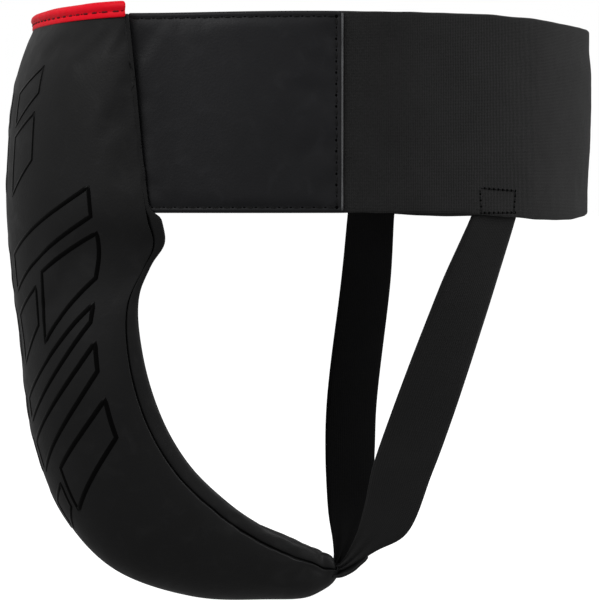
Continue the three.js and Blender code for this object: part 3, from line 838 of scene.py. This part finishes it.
def band(along, inset, z):
    """The point at a distance along the path, inset from it towards the wearer, at a height z."""
    along = float(np.clip(along, 0, PATH_LENGTH))
    x, y = (np.interp(along, PATH_S, PATH[:, k]) for k in range(2))
    step = 1.5
    a, b = max(along - step, 0), min(along + step, PATH_LENGTH)
    t = np.array([np.interp(b, PATH_S, PATH[:, k]) - np.interp(a, PATH_S, PATH[:, k]) for k in range(2)])
    t /= np.linalg.norm(t)
    inset = inset + band_pull(y, z)
    return np.array([x - t[1] * inset, y + t[0] * inset, z])


def band_pull(y, z):
    """How far the band's edges draw in at the back, at a height z."""
    t = 2 * (z - BAND_BOTTOM) / (BAND_TOP - BAND_BOTTOM) - 1
    return float(smooth((y - 88) / 70) * (1.3 * smooth((t - 0.45) / 0.3) + 1.7 * smooth(-t / 0.9)))


def band_normal(along):
    return band(along, -1, 0) - band(along, 0, 0)


def band_bottom(along):
    from_left = min(along, PATH_LENGTH - along)
    return BAND_BOTTOM - 4.6 * float(smooth(1 - abs(from_left - STRAP_PULL_AT) / 95))


def band_top(along):
    """The elastic's top edge, which sinks a little towards the back."""
    return BAND_TOP - 2.8 * float(smooth((np.interp(along, PATH_S, PATH[:, 1]) - 55) / 105))


# How far the inner half goes under the outer one, over the last 70 mm before the loop tape.
UNDER, UNDER_RUN = ELASTIC + PATCH + 3 * GAP, 70


def inner_inset(along):
    return ELASTIC_INSET + UNDER * float(smooth((LOOP_END + UNDER_RUN - along) / UNDER_RUN))


def fixed(value):
    return lambda along: value


# ---------------- the wings
# The fold at the top and bottom edges as (inset, distance from the edge), the hem behind it, and the
# number of points on the flat outer face, which is what the cloth simulation moves.
WING_FOLD = [(4.6, 0.0), (1.7, 0.0), (0.75, 0.25), (0.15, 1.0), (0.10, 2.0), (0.55, 2.9), (0.05, 3.9)]
WING_HEM = [(5.9, 0.5), (6.5, 1.6), (6.5, 5.0), (6.5, 8.0), (6.1, 8.6), (5.6, 8.0), (5.6, 2.0), (5.0, 1.2), (2.1, 1.2),
            (1.3, 2.5)]
WING_FACE = 25


def wing_loop(zb, zt):
    """The wing leather's section as (inset, z, outer face?): folded over the top and bottom edges."""
    loop = [(i, zb + d, 1) for i, d in WING_FOLD]
    loop += [(0.0, z, 1) for z in np.linspace(zb + 6.5, zt - 6.5, WING_FACE)]
    loop += [(i, zt - d, 1) for i, d in reversed(WING_FOLD)]
    loop += [(i, zt - d, 0) for i, d in WING_HEM]
    loop += [(1.3, z, 0) for z in np.linspace(zt - 8, zb + 8, 8)]
    loop += [(i, zb + d, 0) for i, d in reversed(WING_HEM)]
    return loop


def wing_top(t):
    """The height of the wing's top edge at a share t of its length."""
    return BAND_TOP - WING_DROP * (1 - float(smooth(t)))


def wing_along(ends, t, z):
    """The distance along the band at a share t of the wing's length, whose front edge slants."""
    low, high, end = ends
    at_low, at_high = low + (end - low) * t, high + (end - high) * t
    return at_low + (at_high - at_low) * (z - BAND_BOTTOM) / 102


def make_wing(side):
    mirror = -1 if side == "right" else 1
    end = SEAM_AT - GAP
    low = plan_at(lambda p: p[1] >= STATIONS[3][2] + SKIN)
    high = plan_at(lambda p: p[1] >= STATIONS[0][2] + SKIN)
    ends, length = (low, high, end), end - low
    near_end = 1 - np.array([6.0, 4.0, 2.9, 1.9, 0.9, 0.3, 0.0]) / length
    ts = np.concatenate([np.linspace(0, 1 - 8 / length, 34), near_end])
    rings = []
    for t in ts:
        from_end = (1 - t) * length
        ring_points = []
        for inset, z, outer in wing_loop(BAND_BOTTOM, wing_top(t)):
            dip = 0.5 * math.exp(-(((from_end - STITCH_IN) / 0.8) ** 2)) if outer else 0
            round_end = 0.35 * max(0, 1 - from_end / 0.8) if outer else 0
            ring_points.append(band(wing_along(ends, t, z), inset + dip + round_end, z))
        rings.append(ring_points)
    points = np.array(rings)
    cols = points.shape[1]
    flat = points.reshape(-1, 3)
    faces = tube_faces(len(rings), cols)
    # pins: everything but the outer face between the stitch lines
    free = range(len(WING_FOLD), len(WING_FOLD) + WING_FACE)
    pinned = [r * cols + c for r in range(len(rings)) for c in range(cols)
              if c not in free or r < 1 or r > len(rings) - 6]
    flat = puff(flat, outward(flat, faces), pinned, 2.5, 0.004, 0.9)
    flat[:, 0] *= mirror
    uv = [(s, z) for s in ts * length for z in np.linspace(0, 240, cols)]
    obj = piece(f"wing_leather_{side}", flat, outward(flat, faces), WING, None, "black_leather", uv=uv, levels=1)
    bake(obj)
    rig.ride(obj, "front")
    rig.replaces(obj, f"wing_cover_{side}", f"wing_foam_{side}")
    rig.padded(obj, fill=0.9)
    make_wing_lining(side, mirror, ends)
    make_wing_details(side, mirror, ends)


def make_wing_lining(side, mirror, ends):
    rings, uv = [], []
    for t in np.linspace(0, 1, 30):
        ring_points = []
        for inset, z in slab_loop(BAND_BOTTOM + 3, wing_top(t) - 3, 4.5, 5.35, 24):
            along = wing_along(ends, t, z)
            ring_points.append(band(along, inset + 0.15 * wobble(along, z, 14, 8), z))
            uv.append((along, z))
        rings.append(ring_points)
    piece(f"wing_inner_cloth_{side}", *tube(np.array(rings) * (mirror, 1, 1)), LINING_LOOK, "front", "lining_fabric",
          [f"wing_lining_{side}"], uv=uv)


def make_wing_details(side, mirror, ends):
    """The topstitching along three edges, and the pale bead at the leather's cut end, which is a painted highlight on
    its rolled edge.
    """
    def place(t, z, inset):
        along = wing_along(ends, t, z)
        return band(along, inset, z) * (mirror, 1, 1), band_normal(along) * (mirror, 1, 1)

    low, _, end = ends
    length = end - low
    ts = np.linspace(0.03, 1 - STITCH_IN / length, 60)
    heights = np.linspace(BAND_TOP - STITCH_IN, BAND_BOTTOM + STITCH_IN, 50)
    top = [place(t, wing_top(t) - STITCH_IN, 0.45) for t in ts]
    edge = [place(1 - STITCH_IN / length, z, 0.45) for z in heights]
    bottom = [place(t, BAND_BOTTOM + STITCH_IN, 0.45) for t in ts[::-1]]
    for name, run in (("top", top), ("end", edge), ("bottom", bottom)):
        line, normals = np.array([r[0] for r in run]), np.array([r[1] for r in run])
        stitches(f"wing_stitches_{name}_{side}", line, normals, 5.5, 3.6, [SHADED_THREAD, HOLE_SHADE], "front", "black_leather",
                 0.42)
    # the pale bead paints the highlight on the rolled end of the leather
    rings = []
    for z in np.linspace(BAND_BOTTOM + 1.2, BAND_TOP - 1.2, 60):
        c, n = place(1 - 0.25 / length, z, 0.25)
        radius = 0.5 + 0.1 * wobble(0, z, 9, 2)
        t = np.array([n[1], -n[0], 0]) * mirror
        turns = np.linspace(0, 2 * math.pi, 8, endpoint=False)
        rings.append([c + (n * math.cos(a) + t * math.sin(a)) * radius for a in turns])
    piece(f"wing_edge_highlight_{side}", *tube(rings), EDGE_HIGHLIGHT, "front", "black_leather")


# ---------------- flat bands
def slab_loop(z0, z1, i0, i1, count):
    """The section of a flat band as (inset, z), with softly rounded edges."""
    mid, r = (i0 + i1) / 2, (i1 - i0) / 2
    loop = [(i0, z) for z in np.linspace(z0 + r, z1 - r, count)]
    loop += [(mid - r * math.cos(a), z1 - r + r * math.sin(a)) for a in np.radians([35, 70, 110, 145])]
    loop += [(i1, z) for z in np.linspace(z1 - r, z0 + r, count)]
    loop += [(mid + r * math.cos(a), z0 + r - r * math.sin(a)) for a in np.radians([35, 70, 110, 145])]
    return loop


def band_piece(name, look, slot, start, end, insets, bottom, top, replaces, step=2.2, count=46, wave=0.25,
               edge_wave=0.3, body=None, round_end=None, seed=1):
    """A flat band along the path from start to end: insets, bottom and top are functions of the distance."""
    rings, uv = [], []
    n = max(int(abs(end - start) / step), 4)
    for along in np.linspace(start, end, n + 1):
        lo = bottom(along) + edge_wave * wobble(along, 0, 13, seed)
        hi = top(along) + edge_wave * wobble(along, 50, 13, seed + 1)
        if round_end:
            at, radius = round_end
            d = abs(along - at)
            cut = radius - math.sqrt(max(radius**2 - max(radius - d, 0) ** 2, 0)) if d < radius else 0
            lo, hi = lo + cut, hi - cut
        i0, i1 = insets[0](along), insets[1](along)
        ring_points = []
        for inset, z in slab_loop(lo, hi, i0, i1, count):
            shift = wave * wobble(along, z, 17, seed + 2) + wave * 0.5 * wobble(along, z, 6, seed + 3)
            ring_points.append(band(along, inset - shift, z))
            uv.append((along, z))
        rings.append(ring_points)
    return piece(name, *tube(rings), look, body, slot, replaces, uv=uv)


def bend(start, end, mirror=1):
    """Where a piece bends across a joint, from one distance along the band to another."""
    a, b = (band(along, ELASTIC_INSET, 0) * (mirror, 1, 1) * MM for along in (start, end))
    return {"start": tuple(a), "end": tuple(b)}


def make_belt():
    """Both halves of the elastic, tucked into the wings, which bend over the first 45 mm behind the seam."""
    tuck, soft = 9.0, 45
    left = band_piece("elastic_outer_half", ELASTIC_LOOK, "elastic_weave", SEAM_AT - tuck, OUTER_END,
                      (fixed(ELASTIC_INSET), fixed(ELASTIC_INSET + ELASTIC)), band_bottom, band_top,
                      ["elastic_left"], seed=1)
    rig.blend(left, "front", "belt_left", **bend(SEAM_AT, SEAM_AT + soft))
    right = band_piece("elastic_inner_half", ELASTIC_LOOK, "elastic_weave", LAP_START, PATH_LENGTH - SEAM_AT + tuck,
                       (inner_inset, lambda a: inner_inset(a) + ELASTIC), band_bottom, band_top,
                       ["elastic_right"], seed=4)
    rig.blend(right, "front", "belt_right", **bend(SEAM_AT, SEAM_AT + soft, -1))


def run_stitches(name, start, end, z0, z1, inset, body, slot, pitch, count):
    """Stitches on the band's outer face from (start, z0) to (end, z1)."""
    k = np.linspace(0, 1, count)
    line = np.array([band(start + (end - start) * t, inset(start + (end - start) * t), z0 + (z1 - z0) * t) for t in k])
    normals = np.array([band_normal(start + (end - start) * t) for t in k])
    return stitches(name, line, normals, pitch, pitch * 0.62, [SHADED_THREAD, HOLE_SHADE], body, slot, 0.32)


def within(margin):
    """The bottom and top edges of a tape that stays a margin inside the elastic's edges."""
    return lambda a: band_bottom(a) + margin, lambda a: band_top(a) - margin


def make_closure():
    """The pull tab with its hook tape and stitches, which bend over 24 mm, and the loop tape."""
    tab_bend = bend(OUTER_END, OUTER_END + 24)
    tab = band_piece("closure_pull", BLACK, "black_leather", OUTER_END + GAP, TAB_END,
                     (fixed(ELASTIC_INSET - 0.2), fixed(ELASTIC_INSET + 2.0)), *within(1), ["closure_tab"], step=1.8,
                     count=40, wave=0.2, edge_wave=0.15, round_end=(TAB_END, 14), seed=7)
    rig.blend(tab, "belt_left", "closure", **tab_bend)
    hook = band_piece("hook_tape", HOOK_LOOK, "hook_tape", OUTER_END + GAP + 4, TAB_END - 5,
                      (fixed(ELASTIC_INSET + ELASTIC + GAP - 0.05), fixed(ELASTIC_INSET + ELASTIC + GAP + PATCH / 2)),
                      *within(6), ["hook_patch"], step=1.8, count=30, wave=0.05, edge_wave=0.1, seed=8)
    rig.blend(hook, "belt_left", "closure", **tab_bend)
    band_piece("loop_tape", LOOP_LOOK, "loop_tape", back_at(LAP_HALF - 6), LOOP_END,
               (lambda a: inner_inset(a) - GAP - PATCH / 2, lambda a: inner_inset(a) - GAP + 0.3),
               *within(6), ["loop_patch"], body="belt_right", count=30, wave=0.08, edge_wave=0.15, seed=9)
    inset = fixed(ELASTIC_INSET - 0.2)
    root, last, edge = OUTER_END + 3.5, TAB_END - 8, 4
    for name, a0, a1, z0, z1 in (
        ("tab_stitches_top", root, last, band_top(OUTER_END) - edge, band_top(TAB_END) - edge),
        ("tab_stitches_bottom", root, last, band_bottom(OUTER_END) + edge, band_bottom(TAB_END) + edge),
        ("tab_stitches_root", root, root, band_top(OUTER_END) - edge, band_bottom(OUTER_END) + edge),
        ("tab_stitches_end", TAB_END - edge, TAB_END - edge, band_top(TAB_END) - 15, band_bottom(TAB_END) + 14),
    ):
        row = run_stitches(name, a0, a1, z0, z1, inset, None, "black_leather", 4.6, 70)
        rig.blend(row, "belt_left", "closure", **tab_bend)


# ---------------- the leg straps
def strap_place(side):
    """The middle of a strap's sewn end along the band, its inset there, and which way the front is."""
    front = plan_at(lambda p: p[1] >= STRAP_AT[side])
    if side == "left":
        return front, fixed(ELASTIC_INSET + ELASTIC + GAP), -1
    return PATH_LENGTH - front, (lambda a: inner_inset(a) + ELASTIC + GAP), 1


# Points across the webbing, sections along it, how far from its end it is gathered, and the section at
# which it moves wholly with the waistband.
ACROSS, SECTIONS, GATHER, BEND_TO = 20, 96, 46, 50


def make_strap(side):
    middle, inset, to_front = strap_place(side)
    lean = STRAP_LEAN[side]

    def sewn(sign, rise):
        along = middle + sign * to_front * STRAP_WIDTH / 2 - to_front * lean * (rise + 1.2)
        return tuple(band(along, inset(middle) + STRAP / 2 + 0.15, band_bottom(middle) + rise))

    edges = []
    for sign, rest in zip((1, -1), STRAPS[side]):
        start = [sewn(sign, rise) for rise in (STRAP_SEWN, STRAP_SEWN / 2, -1.2)]
        tuck = (rest[-1][0], rest[-1][1] - 4.5, rest[-1][2] - 0.4)
        edges.append(catmull(start + rest + [tuck], 24)[0])
    a, b = edges
    mid = (a + b) / 2
    s = arc(mid)

    def at(k, line):
        return np.array([np.interp(min(max(k, 0), s[-1]), s, line[:, i]) for i in range(3)])

    rings, uv = [], []
    lane = np.linspace(-1, 1, ACROSS)
    for k in np.linspace(0, s[-1], SECTIONS):
        p, q, m = at(k, a), at(k, b), at(k, mid)
        t = at(k + 2, mid) - at(k - 2, mid)
        t /= np.linalg.norm(t)
        width = np.linalg.norm(q - p)
        w = (q - p) / width
        n = np.cross(w, t)
        n /= np.linalg.norm(n)
        gather = float(smooth((k - s[-1] + GATHER) / GATHER))
        ring_points = []
        for face in (1, -1):
            for c in (lane if face > 0 else lane[::-1]):
                pleat = gather * 0.8 * math.sin(c * math.pi * 2.3 + 0.6) * (1 - 0.3 * c)
                slack = 0.35 * wobble(c * 15, k, 26, 11 if side == "left" else 14) * (0 if k < 14 else 1)
                cup = -0.9 * (1 - c * c) * math.sin(math.pi * min(k / s[-1], 1)) * 1.2
                thin = STRAP / 2 * (1 - 0.55 * max(abs(c) - 0.93, 0) / 0.07)
                ring_points.append(m + w * c * width / 2 + n * (face * thin + pleat + slack + cup))
                uv.append((k, c * STRAP_WIDTH / 2))
        rings.append(ring_points)
    # the face towards the wearer takes the darker painted-shade copy, the other face the lighter painted-light copy
    inner_first = side == "left"
    which = [int((j < ACROSS) == inner_first) for _ in range(len(rings) - 1) for j in range(2 * ACROSS)] + [0, 0]
    obj = piece(f"leg_webbing_{side}", *tube(rings), [STRAP_LIT, STRAP_SHADED], None, "strap_weave", uv=uv,
                face_looks=which)
    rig.replaces(obj, f"leg_strap_{side}", f"strap_end_{side}")
    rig.blend(obj, "front", f"belt_{side}", start=tuple(mid[-1] * MM), end=tuple(mid[BEND_TO] * MM))
    z = band_bottom(middle)
    outer = fixed(ELASTIC_INSET - 0.12) if side == "left" else (lambda al: inner_inset(al) - 0.12)
    a0, a1 = middle - 11.5, middle + 11.5
    high, higher, low = z + 13, z + 14.5, z + 1.8
    for name, s0, s1, z0, z1 in (("top", a0, a1, higher, high), ("front", a0, a0 + 1, higher, low),
                                 ("rear", a1, a1 - 1, high, low), ("low", a0, a1, low, low)):
        run_stitches(f"strap_box_{name}_{side}", s0, s1, z0, z1, outer, f"belt_{side}", "strap_weave", 2.6, 24)


# The tab's middle line (x, y, z), its half width where its ends begin to round, and its crown.
TAB_SPINE = [(0, 12.0, -251.2), (0, 18.0, -250.9), (0, 24.2, -248.2), (0, 29.2, -244.4), (0, 32.4, -241.2)]
TAB_HALF, TAB_CROWN = 10.2, 0.9


def make_tip_tab():
    """The small leather tab that runs from the tip to just under the gathered strap ends."""
    spine = catmull(TAB_SPINE, 6)[0][:, 1:]

    def down(k, last):
        t = spine[min(k + 1, last)] - spine[max(k - 1, 0)]
        return np.array([t[1], -t[0]]) / np.linalg.norm(t)

    rings, uv = [], []
    for x in np.concatenate([[-11.4, -11.0], np.linspace(-TAB_HALF, TAB_HALF, 19), [11.0, 11.4]]):
        soft = 1 - 0.5 * max(abs(x) - TAB_HALF, 0)
        last = len(spine) - 1 - int(abs(x) > 11.2)
        top, low = [], []
        for k in range(last + 1):
            thick = 1.05 * soft * (0.45 if k in (0, last) else 1.0)
            rise = 0.05 * x * x / 10 + 0.2 * wobble(x, k, 5, 6)
            top.append((x, *(spine[k] - down(k, last) * (thick + rise - TAB_CROWN))))
            low.append((x, *(spine[k] + down(k, last) * (thick - rise + TAB_CROWN))))
        while len(top) < len(spine):
            top.append(top[-1])
            low.append(low[-1])
        rings.append(top + low[::-1])
        uv += [(x, k) for k in range(2 * len(spine))]
    piece("tip_patch", *tube(rings), BLACK, "front", "black_leather", ["tip_tab"], uv=uv)
    for name, k in (("upper", 21), ("lower", 11)):
        n = down(k, len(spine) - 1)
        line = np.array([(x, *(spine[k] + n * (1.95 - 0.05 * x * x / 10))) for x in np.linspace(-9.0, 9.0, 24)])
        normals = np.array([(0, *n)] * len(line))
        stitches(f"tip_stitches_{name}", line, normals, 3.0, 2.0, [SHADED_THREAD, HOLE_SHADE], "front", "black_leather")


make_wing("left")
make_wing("right")
make_belt()
make_closure()
make_strap("left")
make_strap("right")
make_tip_tab()

frame["nodes"]["hard_cup"].data.materials.clear()
frame["nodes"]["hard_cup"].data.materials.append(PLASTIC_LOOK)


# ---------------- floor, light and camera, in metres
FLOOR_HALF, FLOOR_Z = 14, -0.275
SKY_LOW, SKY_HIGH = 0.26, 0.52
CAMERA_FAR, CAMERA_Z, CAMERA_TILT, CAMERA_TURN = 1.2, -0.0375, 3.0, 71.0 + 0.14


def make_stage():
    """A white floor that takes a faint shadow and sends no light back up, under an even white sky."""
    floor_look, _, _ = material("floor_look", (0.5, 0.5, 0.5), 1.0, Specular_IOR_Level=0.0,
                                Emission_Color=(1, 1, 1, 1), Emission_Strength=0.80)
    half, z = FLOOR_HALF / MM, FLOOR_Z / MM
    corners = [(-half, -half, z), (half, -half, z), (half, half, z), (-half, half, z)]
    floor = add_object("floor", mesh_of("floor", corners, [(0, 1, 2, 3)]))
    floor.data.materials.append(floor_look)
    floor.visible_diffuse = floor.visible_glossy = floor.visible_shadow = False
    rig.stage(floor)
    world = bpy.data.worlds.new("studio")
    bpy.context.scene.world = world
    world.use_nodes = True
    nt = world.node_tree
    back = nt.nodes["Background"]
    back.inputs["Color"].default_value = (1, 1, 1, 1)
    seen = nt.nodes.new("ShaderNodeLightPath")
    up = node(nt, "ShaderNodeSeparateXYZ")
    nt.links.new(node(nt, "ShaderNodeTexCoord").outputs["Generated"], up.inputs["Vector"])
    sky = node(nt, "ShaderNodeMapRange", interpolation_type="SMOOTHSTEP")
    for key, value in (("From Min", -0.9), ("From Max", 0.7), ("To Min", SKY_LOW), ("To Max", SKY_HIGH)):
        sky.inputs[key].default_value = value
    nt.links.new(up.outputs["Z"], sky.inputs["Value"])
    strength = math_node(nt, "MAXIMUM", seen.outputs["Is Camera Ray"], sky.outputs["Result"])
    nt.links.new(strength, back.inputs["Strength"])
    bpy.context.scene.view_settings.view_transform = "Standard"


def area(name, place, target, size, power):
    data = bpy.data.lights.new(name, "AREA")
    data.shape = "RECTANGLE"
    data.size, data.size_y = size
    data.energy = power
    obj = add_object(name, data)
    obj.location = place
    obj.rotation_euler = (Vector(target) - Vector(place)).to_track_quat("-Z", "Y").to_euler()


def make_camera():
    data = bpy.data.cameras.new("camera")
    data.lens, data.sensor_width = 132, 36
    cam = add_object("camera", data)
    cam.location = (0.9455 * CAMERA_FAR, -0.3256 * CAMERA_FAR, CAMERA_Z)
    tilt, turn = math.radians(CAMERA_TILT), math.radians(CAMERA_TURN)
    ahead = Vector((-math.sin(turn) * math.cos(tilt), math.cos(turn) * math.cos(tilt), -math.sin(tilt)))
    cam.rotation_euler = ahead.to_track_quat("-Z", "Y").to_euler()
    data.clip_start, data.clip_end = 0.05, 60
    bpy.context.scene.camera = cam


make_stage()
area("key", (0.9, -1.3, 1.1), (0, 0, -0.05), (1.2, 1.2), 22)
area("side", (0.5, 1.6, 0.5), (0, 0.1, 0.0), (0.8, 1.2), 16)
make_camera()

json.dump({"cad": [list(map(float, c)) for c in CAD_BOX], "visual": [list(map(float, c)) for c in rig.bounds()]},
          open("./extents.json", "w"))
